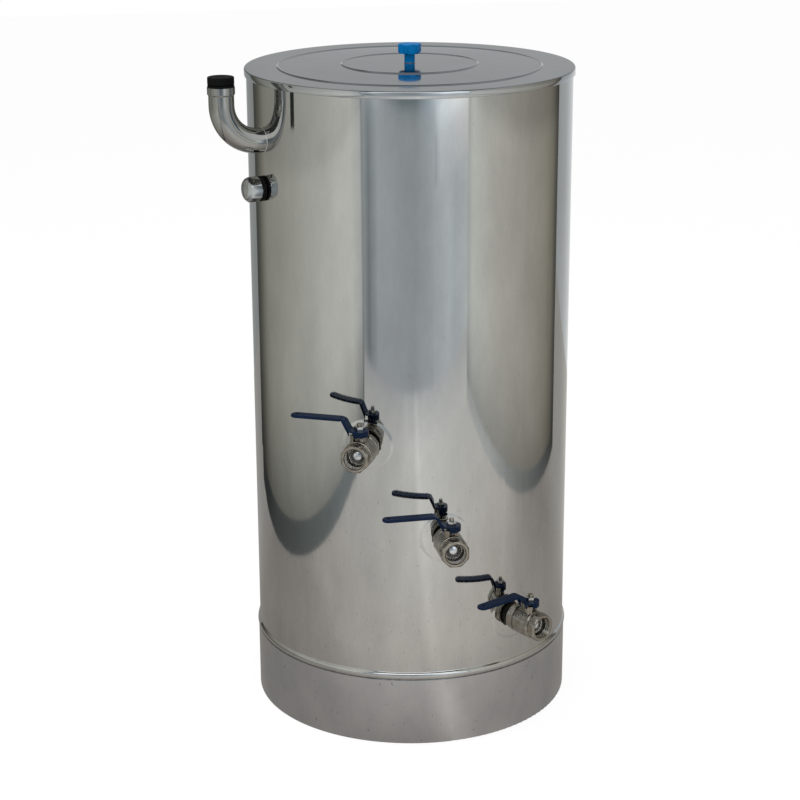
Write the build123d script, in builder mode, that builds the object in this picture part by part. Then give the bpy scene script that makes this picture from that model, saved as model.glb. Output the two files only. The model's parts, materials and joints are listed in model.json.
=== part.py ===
from build123d import *
import os
from math import acos, asin, cos, degrees, radians, sqrt

# Wax settling tank: a stainless wax vessel in a water jacket, on a base skirt, with a
# lift-off lid, a water filling elbow, a level plug and three ball valves stepped round the front.
# Millimetres. +Z is up, -Y is the front, where the middle valve points, and the origin is on
# the floor under the tank's axis.

# Clearances
weld_gap = 0.1  # between pieces that are welded, pressed or screwed together
turn_gap = 0.05  # between a turning piece and its bearing
slip_gap = 0.3  # between the skirt and the shell that stands in it

# Shell and skirt
shell_radius = 250.0
shell_sheet = 1.5
rim_height = 1020.0  # floor to the top of the rim
skirt_height = 108.0
skirt_sheet = 2.0
skirt_foot = 15.0  # width of the foot folded inwards
skirt_bend = 2.5
shell_tuck = 30.0  # length of shell hidden in the skirt
bead_height = 13.0
bead_rise = 3.6
bead_root = 2.0

# Inside of the tank
jacket_gap = 26.5  # water space between shell and vessel
vessel_sheet = 1.5
vessel_knuckle = 15.0
sump_depth = 38.0  # from the lowest valve's axis down to the vessel's floor
jacket_floor_sheet = 2.0
jacket_floor_flange = 22.0
jacket_floor_knuckle = 8.0
stool_radius = 21.2
stool_wall = 2.0
stool_circle_radius = 130.0
stool_count = 4
rim_sheet = 1.5
rim_lip = 12.0
rim_bend = 1.2

# Lid
lid_sheet = 1.2
lid_edge = 11.0  # height of the turned-down edge
lid_hem = 4.0
lid_hem_gap = 0.6
lid_bend = 2.2
outer_step_inset = 45.0  # from the shell's outside in to the outer step
inner_step_radius = 105.0
outer_step_rise = 1.5
inner_step_rise = 2.0
step_run = 2.5
step_round = 2.0

# Lid knob
knob_flats = 31.0
knob_head = 12.0
knob_dome = 2.5
knob_stem_radius = 8.0
knob_stem = 14.0
knob_round = 2.5
knob_washer_radius = 11.5
knob_washer_sheet = 1.5
screw_radius = 4.0
screw_grip = 12.0
screw_head_radius = 7.0
screw_head = 3.2
under_washer_radius = 10.0
under_washer_sheet = 1.2

# Water filling elbow, neck and plug
fill_azimuth = -74.0  # round from the front, to the right
elbow_below_rim = 92.0
tube_radius = 19.0
tube_wall = 1.5
elbow_bend = 57.0
elbow_stub = 5.5
elbow_inside = 3.0
elbow_rise = 6.0
neck_plain = 8.5
neck_flare = 2.5
mouth_band = 10.0
mouth_step = 1.6
plug_shank = 9.0
plug_head = 15.0
plug_flange = 0.7
plug_groove_height = 4.0
plug_groove = 1.6
plug_round = 1.5

# Level plug
level_below_rim = 165.0
level_bore = 12.0
level_socket_wall = 3.5
level_socket_out = 7.0
level_socket_inside = 5.0
level_gasket_sheet = 3.0
level_gasket_lip = 1.0
level_cap_flats = 34.0
level_cap = 19.0
level_face_radius = 11.8
level_chamfer = 7.0
level_back_chamfer = 2.5
level_bulge = 0.62  # how far out the front chamfer swells, as a share of its width
level_shank = 12.0

# Ball valves, counted up from the lowest
lowest_valve_height = 195.0
valve_drop = 148.0
valve_azimuth_step = 27.0
bore_radius = 12.0
ball_wall = 5.0
seat_lip = 1.4
seat_land = 2.5
chamber_gap = 0.6
ball_room = 0.3
spigot_step = 1.4
spigot_land = 3.5
barrel_wall = 3.0
barrel_round = 2.0
outlet_land = 2.5
inlet_land = 7.0
pipe_radius = 15.15  # wall of the one-inch pipe thread
pipe_depth = 12.0
pipe_chamfer = 1.5
octagon_turn = 22.5  # puts a flat of the eight-sided ends on top
end_wall = 5.35
end_chamfer = 2.2
end_groove = 4.0
groove_depth = 1.2

# Stub pipes and wall collars
nipple_gap = 8.0  # from the shell's outside to the valve
stub_radius = 16.85
stub_bore = 13.0
stub_inside = 2.0
thread_run_out = 2.5
collar_radius = 37.0
collar_sheet = 1.4
collar_bevel = 35.0

# Valve stems, levers and nuts
stem_radius = 5.0
stem_collar_step = 2.0
stem_collar = 2.6
stem_tang = 5.0
slot_depth = 4.0
packing_floor = 1.5
packing_width = 3.0
packing_height = 5.0
neck_wall = 2.5
gland_wall = 1.5
gland_height = 6.5
lever_lift_off = 1.5  # from the gland nut up to the lever
lever_sheet = 2.5
hub_gap = 0.5
hub_skirt = 6.0
hub_skirt_span = 230.0
lever_swing = 90.0
stop_slack = 1.5
stop_gap = 0.25
stop_top_gap = 3.5
crank_run = 8.5
crank_rise = 16.5
crank_bend = 6.0
flange_run = 4.0  # length of arm that the crank's side flanges reach along
arm_width = 17.0
lever_reach = 104.3
grip_wall = 0.7
grip_start = 4.5
grip_round = 1.2
hang_hole_radius = 2.5
hang_hole_inset = 9.0
stem_flat = 3.6
lever_nut_flats = 13.0
lever_nut_height = 6.5
stem_thread_radius = 4.0
stem_tip = 4.0
nut_chamfer = 1.0

# Worked out: the tank
shell_inner = shell_radius - shell_sheet
shell_foot = skirt_height - shell_tuck
shell_top = rim_height - rim_sheet
bead_foot = skirt_height + weld_gap
vessel_radius = shell_inner - jacket_gap
vessel_inner = vessel_radius - vessel_sheet
vessel_floor = lowest_valve_height - sump_depth
jacket_floor_top = shell_foot + jacket_floor_sheet
skirt_inner = shell_radius + slip_gap
skirt_radius = skirt_inner + skirt_sheet

# Worked out: the lid
lid_inner = shell_radius + lid_hem_gap + lid_sheet
lid_radius = lid_inner + lid_sheet
outer_step_radius = shell_radius - outer_step_inset
disc_underside = rim_height + outer_step_rise + inner_step_rise
disc_top = disc_underside + lid_sheet
knob_foot = disc_top + knob_washer_sheet
under_washer_foot = disc_underside - under_washer_sheet

# Worked out: the filling elbow and the level plug
elbow_height = rim_height - elbow_below_rim
elbow_axis_reach = shell_radius + elbow_stub + elbow_bend
neck_foot = elbow_height + elbow_bend + elbow_rise
mouth_foot = neck_foot + neck_plain + neck_flare
mouth_top = mouth_foot + mouth_band
mouth_radius = tube_radius + mouth_step
mouth_inner = mouth_radius - tube_wall
level_height = rim_height - level_below_rim
level_socket_radius = level_bore + level_socket_wall
level_socket_face = shell_radius + level_socket_out
level_cap_foot = level_socket_face + level_gasket_sheet
level_cap_face = level_cap_foot + level_cap

# Worked out: along the valve's flow, from the middle of the ball
ball_radius = bore_radius + ball_wall
seat_radius = ball_radius - seat_lip
chamber_radius = ball_radius + chamber_gap
chamber_half = sqrt((ball_radius + ball_room) ** 2 - seat_radius**2)
seat_back = sqrt(ball_radius**2 - bore_radius**2) + seat_land
split_reach = seat_back + spigot_land
spigot_radius = chamber_radius + spigot_step
barrel_radius = spigot_radius + barrel_wall
outlet_floor = seat_back + outlet_land
outlet_reach = outlet_floor + pipe_depth
inlet_floor = seat_back + inlet_land
inlet_reach = inlet_floor + pipe_depth
end_apothem = pipe_radius + end_wall
ball_reach = shell_radius + nipple_gap + inlet_reach

# Worked out: up the valve's stem, from the middle of the ball
stem_collar_radius = stem_radius + stem_collar_step
stem_collar_foot = ball_radius + ball_room
stem_collar_top = stem_collar_foot + stem_collar
packing_foot = stem_collar_top + packing_floor
neck_top = packing_foot + packing_height
packing_radius = stem_radius + packing_width
neck_radius = packing_radius + neck_wall
gland_apothem = packing_radius + gland_wall
gland_top = neck_top + gland_height
lever_foot = gland_top + lever_lift_off
lever_top = lever_foot + lever_sheet
lever_middle = lever_foot + lever_sheet / 2
arm_middle = lever_middle + crank_rise
hub_inner = gland_apothem / cos(radians(30)) + hub_gap
hub_radius = hub_inner + lever_sheet
crank_end = hub_radius + crank_run
flange_end = crank_end + flange_run
hang_hole_reach = lever_reach - hang_hole_inset
stop_half = (360 - hub_skirt_span - lever_swing) / 2 - stop_slack
stop_middle = lever_swing / 2 - 90
stop_top = lever_foot - stop_top_gap


def fitting_frame(azimuth, height, reach=0.0):
    # x points out of the tank, y to the right as seen from outside, z up
    outwards = Vector(0, -1, 0).rotate(Axis.Z, azimuth)
    return Plane(origin=outwards * reach + Vector(0, 0, height), x_dir=outwards, z_dir=(0, 0, 1))


def within(frame, plane):
    return Plane(frame * plane)


def flow_axis(frame):
    return Axis(frame.origin, frame.x_dir)


def write_piece(piece, label):
    piece.label = label
    export_step(piece, f"parts/{label}.step")


valve_steps = {"lower": 0, "middle": 1, "upper": 2}


def valve_frame(step, reach=0.0):
    azimuth = valve_azimuth_step * (1 - step)
    return fitting_frame(azimuth, lowest_valve_height + step * valve_drop, reach)


fill_frame = fitting_frame(fill_azimuth, elbow_height)
level_frame = fitting_frame(fill_azimuth, level_height)
stub_holes = [(valve_frame(step), stub_radius + weld_gap) for step in valve_steps.values()]
side_holes = [(fill_frame, tube_radius + weld_gap), (level_frame, level_socket_radius + weld_gap)]

os.makedirs("parts", exist_ok=True)

# Outer shell: one rolled sheet with a stop bead just above the skirt
bead_middle = bead_foot + bead_height / 2
with BuildPart() as outer_shell:
    with BuildSketch(Plane.XZ) as shell_section:
        with BuildLine():
            Line((shell_inner, shell_foot), (shell_inner, bead_foot))
            ThreePointArc(
                (shell_inner, bead_foot),
                (shell_inner + bead_rise, bead_middle),
                (shell_inner, bead_foot + bead_height),
            )
            Polyline(
                (shell_inner, bead_foot + bead_height),
                (shell_inner, shell_top),
                (shell_radius, shell_top),
                (shell_radius, bead_foot + bead_height),
            )
            ThreePointArc(
                (shell_radius, bead_foot + bead_height),
                (shell_radius + bead_rise, bead_middle),
                (shell_radius, bead_foot),
            )
            Polyline((shell_radius, bead_foot), (shell_radius, shell_foot), (shell_inner, shell_foot))
        make_face()
        bead_ends = shell_section.vertices().filter_by(
            lambda corner: bead_foot - weld_gap / 2 < corner.Y < bead_foot + bead_height + weld_gap / 2
        )
        fillet(bead_ends, radius=bead_root)
    revolve(axis=Axis.Z)
    for frame, radius in stub_holes + side_holes:
        with BuildSketch(within(frame, Plane.YZ)):
            Circle(radius)
        extrude(amount=skirt_radius, mode=Mode.SUBTRACT)
write_piece(outer_shell.part, "outer_shell")

# Base skirt: a ring that the bead stands on, with its foot folded inwards
with BuildPart() as base_skirt:
    with BuildSketch(Plane.XZ) as skirt_section:
        with BuildLine():
            Polyline(
                (skirt_radius - skirt_foot, 0),
                (skirt_radius, 0),
                (skirt_radius, skirt_height),
                (skirt_inner, skirt_height),
                (skirt_inner, skirt_sheet),
                (skirt_radius - skirt_foot, skirt_sheet),
                close=True,
            )
        make_face()
        skirt_corners = skirt_section.vertices().group_by(Axis.X)
        fillet(skirt_corners[-1].sort_by(Axis.Y)[0], radius=skirt_bend)
        inner_corner = skirt_section.vertices().filter_by(
            lambda corner: abs(corner.X - skirt_inner) < skirt_sheet / 4 and corner.Y < skirt_height / 2
        )
        fillet(inner_corner, radius=max(skirt_bend - skirt_sheet, weld_gap))
    revolve(axis=Axis.Z)
write_piece(base_skirt.part, "base_skirt")

# Jacket floor: a flanged disc, welded in the shell's lower end
jacket_floor_radius = shell_inner - weld_gap
with BuildPart() as jacket_floor:
    with BuildSketch(Plane.XZ) as floor_section:
        with BuildLine():
            Polyline(
                (0, shell_foot),
                (jacket_floor_radius, shell_foot),
                (jacket_floor_radius, shell_foot + jacket_floor_flange),
                (jacket_floor_radius - jacket_floor_sheet, shell_foot + jacket_floor_flange),
                (jacket_floor_radius - jacket_floor_sheet, jacket_floor_top),
                (0, jacket_floor_top),
                close=True,
            )
        make_face()
        inner_corner = floor_section.vertices().group_by(Axis.X)[-2].sort_by(Axis.Y)[0]
        fillet(inner_corner, radius=max(jacket_floor_knuckle - jacket_floor_sheet, weld_gap))
        outer_corner = floor_section.vertices().group_by(Axis.X)[-1].sort_by(Axis.Y)[0]
        fillet(outer_corner, radius=jacket_floor_knuckle)
    revolve(axis=Axis.Z)
write_piece(jacket_floor.part, "jacket_floor")

# Wax vessel: the inner drum, with a rounded foot and holes for the stub pipes
with BuildPart() as wax_vessel:
    with BuildSketch(Plane.XZ) as vessel_section:
        with BuildLine():
            Polyline(
                (0, vessel_floor - vessel_sheet),
                (vessel_radius, vessel_floor - vessel_sheet),
                (vessel_radius, shell_top),
                (vessel_inner, shell_top),
                (vessel_inner, vessel_floor),
                (0, vessel_floor),
                close=True,
            )
        make_face()
        inner_corner = vessel_section.vertices().group_by(Axis.X)[-2].sort_by(Axis.Y)[0]
        fillet(inner_corner, radius=vessel_knuckle)
        outer_corner = vessel_section.vertices().group_by(Axis.X)[-1].sort_by(Axis.Y)[0]
        fillet(outer_corner, radius=vessel_knuckle + vessel_sheet)
    revolve(axis=Axis.Z)
    for frame, radius in stub_holes:
        with BuildSketch(within(frame, Plane.YZ)):
            Circle(radius)
        extrude(amount=shell_radius, mode=Mode.SUBTRACT)
write_piece(wax_vessel.part, "wax_vessel")

# Vessel stools: short tubes that carry the vessel on the jacket floor
with BuildPart() as vessel_stools:
    with BuildSketch(Plane.XY.offset(jacket_floor_top)):
        with PolarLocations(stool_circle_radius, stool_count, start_angle=180 / stool_count):
            Circle(stool_radius)
            Circle(stool_radius - stool_wall, mode=Mode.SUBTRACT)
    extrude(amount=vessel_floor - vessel_sheet - jacket_floor_top)
write_piece(vessel_stools.part, "vessel_stools")

# Rim ring: a channel that closes the jacket and stiffens the mouth
rim_inner = vessel_inner - weld_gap
rim_outer = shell_inner - weld_gap
with BuildPart() as rim_ring:
    with BuildSketch(Plane.XZ) as rim_section:
        with BuildLine():
            Polyline(
                (rim_inner - rim_sheet, rim_height - rim_lip),
                (rim_inner - rim_sheet, rim_height),
                (shell_radius, rim_height),
                (shell_radius, shell_top),
                (rim_outer, shell_top),
                (rim_outer, rim_height - rim_lip),
                (rim_outer - rim_sheet, rim_height - rim_lip),
                (rim_outer - rim_sheet, shell_top),
                (rim_inner, shell_top),
                (rim_inner, rim_height - rim_lip),
                close=True,
            )
        make_face()
        fillet(rim_section.vertices().group_by(Axis.X)[0].sort_by(Axis.Y)[-1], radius=rim_bend)
    revolve(axis=Axis.Z)
write_piece(rim_ring.part, "rim_ring")

# Lid: a pressed disc with two steps up to the middle and a hemmed edge
lid_top = rim_height + lid_sheet
lid_foot = lid_top - lid_edge
with BuildPart() as lid:
    with BuildSketch(Plane.XZ) as lid_section:
        with BuildLine():
            Polyline(
                (screw_radius + weld_gap, disc_underside),
                (screw_radius + weld_gap, disc_top),
                (inner_step_radius, disc_top),
                (inner_step_radius + step_run, disc_top - inner_step_rise),
                (outer_step_radius, disc_top - inner_step_rise),
                (outer_step_radius + step_run, lid_top),
                (lid_radius, lid_top),
                (lid_radius, lid_foot),
                (lid_inner - lid_sheet, lid_foot),
                (lid_inner - lid_sheet, lid_foot + lid_hem),
                (lid_inner, lid_foot + lid_hem),
                (lid_inner, rim_height),
                (outer_step_radius + step_run, rim_height),
                (outer_step_radius, rim_height + outer_step_rise),
                (inner_step_radius + step_run, rim_height + outer_step_rise),
                (inner_step_radius, disc_underside),
                close=True,
            )
        make_face()
        step_corners = lid_section.vertices().filter_by(
            lambda corner: inner_step_radius - weld_gap < corner.X < outer_step_radius + step_run + weld_gap
        )
        fillet(step_corners, radius=step_round)
        hem_corners = lid_section.vertices().filter_by(
            lambda corner: abs(corner.X - lid_inner + lid_sheet) < lid_sheet / 4
        )
        fillet(hem_corners, radius=lid_sheet / 3)
        edge_corners = lid_section.vertices().group_by(Axis.X)[-1].sort_by(Axis.Y)
        fillet(edge_corners[-1], radius=lid_bend)
        edge_corners = lid_section.vertices().group_by(Axis.X)[-1].sort_by(Axis.Y)
        fillet(edge_corners[0], radius=lid_sheet)
    revolve(axis=Axis.Z)
write_piece(lid.part, "lid")

# Lid knob: a six-sided head with a domed top on a round stem
knob_head_foot = knob_foot + knob_stem
knob_top = knob_head_foot + knob_head
knob_corner = knob_flats / 2 / cos(radians(30))
with BuildPart() as lid_knob:
    with BuildSketch(Plane.XY.offset(knob_head_foot)):
        RegularPolygon(radius=knob_flats / 2, side_count=6, major_radius=False)
    extrude(amount=knob_head)
    with BuildSketch(Plane.XZ):
        with BuildLine():
            Line((0, knob_head_foot), (knob_flats / 2, knob_head_foot))
            Line((knob_flats / 2, knob_head_foot), (knob_corner, knob_head_foot + knob_dome))
            Line((knob_corner, knob_head_foot + knob_dome), (knob_corner, knob_top - knob_dome))
            TangentArc(
                (knob_corner, knob_top - knob_dome), (knob_corner - knob_dome, knob_top), tangent=(0, 1)
            )
            Line((knob_corner - knob_dome, knob_top), (0, knob_top))
            Line((0, knob_top), (0, knob_head_foot))
        make_face()
    revolve(axis=Axis.Z, mode=Mode.INTERSECT)
    with BuildSketch(Plane.XY.offset(knob_foot)):
        Circle(knob_stem_radius)
    extrude(amount=knob_stem)
    stem_root = lid_knob.edges().filter_by(GeomType.CIRCLE).filter_by(
        lambda edge: abs(edge.radius - knob_stem_radius) < weld_gap
    )
    fillet(stem_root.sort_by(Axis.Z)[-1], radius=knob_round)
    with BuildSketch(Plane.XY.offset(knob_foot)):
        Circle(screw_radius + weld_gap)
    extrude(amount=screw_grip + weld_gap, mode=Mode.SUBTRACT)
write_piece(lid_knob.part, "lid_knob")

# Knob washer: a turned washer between the lid and the knob's stem
with BuildPart() as knob_washer:
    with BuildSketch(Plane.XY.offset(disc_top)):
        Circle(knob_washer_radius)
        Circle(screw_radius + weld_gap, mode=Mode.SUBTRACT)
    extrude(amount=knob_washer_sheet)
    fillet(knob_washer.edges().group_by(Axis.Z)[-1].sort_by(SortBy.RADIUS)[-1], radius=knob_washer_sheet / 2)
write_piece(knob_washer.part, "knob_washer")

# Washer and screw under the lid
with BuildPart() as under_washer:
    with BuildSketch(Plane.XY.offset(under_washer_foot)):
        Circle(under_washer_radius)
        Circle(screw_radius + weld_gap, mode=Mode.SUBTRACT)
    extrude(amount=under_washer_sheet)
write_piece(under_washer.part, "under_washer")

with BuildPart() as knob_screw:
    with BuildSketch(Plane.XY.offset(under_washer_foot)):
        Circle(screw_head_radius)
    extrude(amount=-screw_head)
    fillet(knob_screw.edges().group_by(Axis.Z)[0], radius=screw_head / 2)
    with BuildSketch(Plane.XY.offset(under_washer_foot)):
        Circle(screw_radius)
    extrude(amount=knob_foot + screw_grip - under_washer_foot)
write_piece(knob_screw.part, "knob_screw")

# Filling elbow: a bent tube from the jacket, turned up beside the tank
with BuildPart() as fill_elbow:
    with BuildLine(within(fill_frame, Plane.XZ)) as elbow_path:
        run_out = Line((shell_inner - elbow_inside, 0), (shell_radius + elbow_stub, 0))
        turn_up = TangentArc(run_out @ 1, (elbow_axis_reach, elbow_bend), tangent=run_out % 1)
        Line(turn_up @ 1, (elbow_axis_reach, elbow_bend + elbow_rise))
    with BuildSketch(within(fill_frame, Plane.YZ.offset(shell_inner - elbow_inside))):
        Circle(tube_radius)
        Circle(tube_radius - tube_wall, mode=Mode.SUBTRACT)
    sweep(path=elbow_path.wires()[0])
write_piece(fill_elbow.part, "fill_elbow")

# Filling neck: butt-welded to the elbow and widened to a socket at the mouth
mouth_frame = fitting_frame(fill_azimuth, 0, elbow_axis_reach)
mouth_axis = Axis(mouth_frame.origin, (0, 0, 1))
with BuildPart() as fill_neck:
    with BuildSketch(within(mouth_frame, Plane.XZ)) as neck_section:
        with BuildLine():
            Polyline(
                (tube_radius - tube_wall, neck_foot),
                (tube_radius, neck_foot),
                (tube_radius, neck_foot + neck_plain),
                (mouth_radius, mouth_foot),
                (mouth_radius, mouth_top),
                (mouth_inner, mouth_top),
                (mouth_inner, mouth_foot),
                (tube_radius - tube_wall, neck_foot + neck_plain),
                close=True,
            )
        make_face()
        flare_corners = neck_section.vertices().filter_by(
            lambda corner: neck_foot + weld_gap < corner.Y < mouth_foot + weld_gap
        )
        fillet(flare_corners, radius=tube_wall / 2)
    revolve(axis=mouth_axis)
write_piece(fill_neck.part, "fill_neck")

# Filling plug: a rubber stopper with a grip groove
plug_radius = mouth_inner - weld_gap
plug_head_radius = mouth_inner + plug_flange
plug_top = mouth_top + plug_head
plug_groove_middle = mouth_top + plug_groove_height
with BuildPart() as fill_plug:
    with BuildSketch(within(mouth_frame, Plane.XZ)) as plug_section:
        with BuildLine():
            Polyline(
                (0, mouth_top - plug_shank),
                (plug_radius - plug_round / 2, mouth_top - plug_shank),
                (plug_radius, mouth_top - plug_shank + plug_round),
                (plug_radius, mouth_top),
                (plug_head_radius, mouth_top),
                (plug_head_radius, plug_groove_middle - plug_groove / 2),
                (plug_head_radius - plug_groove, plug_groove_middle),
                (plug_head_radius, plug_groove_middle + plug_groove / 2),
                (plug_head_radius, plug_top),
                (0, plug_top),
                close=True,
            )
        make_face()
        fillet(plug_section.vertices().group_by(Axis.Y)[-1].sort_by(Axis.X)[-1], radius=plug_round)
    revolve(axis=mouth_axis)
write_piece(fill_plug.part, "fill_plug")

# Level socket: a threaded boss welded in the shell, the check hole for the water level
level_axis = flow_axis(level_frame)
with BuildPart() as level_socket:
    with BuildSketch(within(level_frame, Plane.YZ.offset(shell_inner - level_socket_inside))):
        Circle(level_socket_radius)
        Circle(level_bore, mode=Mode.SUBTRACT)
    extrude(amount=level_socket_face - shell_inner + level_socket_inside)
write_piece(level_socket.part, "level_socket")

# Level gasket: a flat rubber ring under the plug's head
with BuildPart() as level_gasket:
    with BuildSketch(within(level_frame, Plane.YZ.offset(level_socket_face))):
        Circle(level_socket_radius + level_gasket_lip)
        Circle(level_bore, mode=Mode.SUBTRACT)
    extrude(amount=level_gasket_sheet)
write_piece(level_gasket.part, "level_gasket")

# Level plug: a six-sided head, well chamfered in front, on a threaded shank
level_corner = level_cap_flats / 2 / cos(radians(30))
level_swell = level_face_radius + (level_corner - level_face_radius) * level_bulge
with BuildPart() as level_plug:
    with BuildSketch(within(level_frame, Plane.YZ.offset(level_cap_foot))):
        RegularPolygon(radius=level_cap_flats / 2, side_count=6, major_radius=False, rotation=30)
    extrude(amount=level_cap)
    with BuildSketch(within(level_frame, Plane.XZ)):
        with BuildLine():
            Polyline(
                (level_cap_face, level_face_radius),
                (level_cap_face, 0),
                (level_cap_foot, 0),
                (level_cap_foot, level_cap_flats / 2),
                (level_cap_foot + level_back_chamfer, level_corner),
                (level_cap_face - level_chamfer, level_corner),
            )
            ThreePointArc(
                (level_cap_face - level_chamfer, level_corner),
                (level_cap_face - level_chamfer / 3, level_swell),
                (level_cap_face, level_face_radius),
            )
        make_face()
    revolve(axis=level_axis, mode=Mode.INTERSECT)
    with BuildSketch(within(level_frame, Plane.YZ.offset(level_cap_foot))):
        Circle(level_bore - weld_gap)
    extrude(amount=-level_shank)
write_piece(level_plug.part, "level_plug")


# Wall collar: a thin bevelled disc, curved to the shell, round a stub pipe
def make_wall_collar(step):
    frame = valve_frame(step)
    collar_inner = shell_radius + weld_gap
    with BuildPart() as wall_collar:
        with BuildSketch(Plane.XZ):
            with Locations((collar_inner + collar_sheet / 2, frame.origin.Z)):
                Rectangle(collar_sheet, 2 * collar_radius + collar_sheet)
        revolve(axis=Axis.Z)
        with BuildSketch(within(frame, Plane.YZ.offset(shell_inner))):
            Circle(collar_radius)
        extrude(amount=collar_radius / 2, taper=collar_bevel, mode=Mode.INTERSECT)
        with BuildSketch(within(frame, Plane.YZ)):
            Circle(stub_radius + weld_gap)
        extrude(amount=skirt_radius + collar_radius, mode=Mode.SUBTRACT)
    return wall_collar.part


# Stub pipe: from the vessel's wall through the jacket to the valve, turned down for its thread
def make_stub_pipe(step):
    frame = valve_frame(step)
    shoulder = shell_radius + nipple_gap - weld_gap
    thread_end = shell_radius + nipple_gap + pipe_depth - thread_run_out
    with BuildPart() as stub_pipe:
        with BuildSketch(within(frame, Plane.XZ)):
            with BuildLine():
                Polyline(
                    (vessel_inner - stub_inside, stub_bore),
                    (thread_end, stub_bore),
                    (thread_end, pipe_radius - weld_gap),
                    (shoulder, pipe_radius - weld_gap),
                    (shoulder, stub_radius),
                    (vessel_inner - stub_inside, stub_radius),
                    close=True,
                )
            make_face()
        revolve(axis=flow_axis(frame))
    return stub_pipe.part


# Valve body: an eight-sided outlet, a barrel round the ball, a neck for the stem and a stop lug
def make_valve_body(step):
    frame = valve_frame(step, ball_reach)
    flow = flow_axis(frame)
    with BuildPart() as valve_body:
        with BuildSketch(within(frame, Plane.YZ.offset(outlet_floor))):
            RegularPolygon(radius=end_apothem, side_count=8, major_radius=False, rotation=octagon_turn)
        extrude(amount=pipe_depth)
        with BuildSketch(within(frame, Plane.XZ)):
            with BuildLine():
                Polyline(
                    (outlet_floor, 0),
                    (outlet_floor, end_apothem - groove_depth / 2),
                    (outlet_floor + end_chamfer / 2, end_apothem + end_chamfer),
                    (outlet_reach - end_chamfer, end_apothem + end_chamfer),
                    (outlet_reach, end_apothem - end_chamfer / 2),
                    (outlet_reach, 0),
                    close=True,
                )
            make_face()
        revolve(axis=flow, mode=Mode.INTERSECT)
        with BuildSketch(within(frame, Plane.XZ)) as barrel_section:
            with BuildLine():
                Polyline(
                    (-split_reach, 0),
                    (-split_reach, barrel_radius),
                    (seat_back - barrel_round, barrel_radius),
                    (outlet_floor - end_groove / 2, end_apothem - groove_depth),
                    (outlet_floor, end_apothem - groove_depth),
                    (outlet_floor, 0),
                    close=True,
                )
            make_face()
            barrel_corners = barrel_section.vertices().group_by(Axis.Y)[-1]
            fillet(barrel_corners, radius=barrel_round)
        revolve(axis=flow)
        with BuildSketch(within(frame, Plane.XY)):
            Circle(neck_radius)
        extrude(amount=neck_top)
        with BuildSketch(within(frame, Plane.XY.offset(ball_radius))):
            with BuildLine():
                stop_out = CenterArc((0, 0), hub_radius, stop_middle - stop_half, 2 * stop_half)
                stop_in = CenterArc((0, 0), hub_inner + stop_gap, stop_middle - stop_half, 2 * stop_half)
                Line(stop_in @ 0, stop_out @ 0)
                Line(stop_in @ 1, stop_out @ 1)
            make_face()
        extrude(amount=stop_top - ball_radius)
        with BuildSketch(within(frame, Plane.XZ)):
            with BuildLine():
                Polyline(
                    (-split_reach, 0),
                    (-split_reach, spigot_radius),
                    (-chamber_half, spigot_radius),
                    (-chamber_half, chamber_radius),
                    (chamber_half, chamber_radius),
                    (chamber_half, seat_radius),
                    (seat_back, seat_radius),
                    (seat_back, bore_radius),
                    (outlet_floor, bore_radius),
                    (outlet_floor, pipe_radius),
                    (outlet_reach - pipe_chamfer, pipe_radius),
                    (outlet_reach, pipe_radius + pipe_chamfer),
                    (outlet_reach, 0),
                    close=True,
                )
            make_face()
        revolve(axis=flow, mode=Mode.SUBTRACT)
        with BuildSketch(within(frame, Plane.XY)):
            Circle(stem_collar_radius + weld_gap)
        extrude(amount=stem_collar_top + weld_gap, mode=Mode.SUBTRACT)
        with BuildSketch(within(frame, Plane.XY)):
            Circle(stem_radius + turn_gap)
        extrude(amount=packing_foot, mode=Mode.SUBTRACT)
        with BuildSketch(within(frame, Plane.XY.offset(packing_foot))):
            Circle(packing_radius + weld_gap)
        extrude(amount=packing_height, mode=Mode.SUBTRACT)
    return valve_body.part


# End piece: screws into the body, holds the inner seat and takes the stub pipe's thread
def make_end_piece(step):
    frame = valve_frame(step, ball_reach)
    flow = flow_axis(frame)
    shoulder = split_reach + end_groove
    with BuildPart() as end_piece:
        with BuildSketch(within(frame, Plane.YZ.offset(-inlet_reach))):
            RegularPolygon(radius=end_apothem, side_count=8, major_radius=False, rotation=octagon_turn)
        extrude(amount=inlet_reach - shoulder)
        with BuildSketch(within(frame, Plane.XZ)):
            with BuildLine():
                Polyline(
                    (-inlet_reach, 0),
                    (-inlet_reach, end_apothem - end_chamfer / 2),
                    (-inlet_reach + end_chamfer, end_apothem + end_chamfer),
                    (-shoulder - end_chamfer / 2, end_apothem + end_chamfer),
                    (-shoulder, end_apothem - groove_depth / 2),
                    (-shoulder, 0),
                    close=True,
                )
            make_face()
        revolve(axis=flow, mode=Mode.INTERSECT)
        with BuildSketch(within(frame, Plane.XZ)):
            with BuildLine():
                Polyline(
                    (-shoulder, 0),
                    (-shoulder, end_apothem - groove_depth),
                    (-split_reach, end_apothem - groove_depth),
                    (-split_reach, spigot_radius - weld_gap),
                    (-chamber_half - weld_gap, spigot_radius - weld_gap),
                    (-chamber_half - weld_gap, 0),
                    close=True,
                )
            make_face()
        revolve(axis=flow)
        with BuildSketch(within(frame, Plane.XZ)):
            with BuildLine():
                Polyline(
                    (-inlet_reach, 0),
                    (-inlet_reach, pipe_radius + pipe_chamfer),
                    (-inlet_reach + pipe_chamfer, pipe_radius),
                    (-inlet_floor, pipe_radius),
                    (-inlet_floor, bore_radius),
                    (-seat_back, bore_radius),
                    (-seat_back, seat_radius),
                    (-chamber_half, seat_radius),
                    (-chamber_half, 0),
                    close=True,
                )
            make_face()
        revolve(axis=flow, mode=Mode.SUBTRACT)
    return end_piece.part


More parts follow.
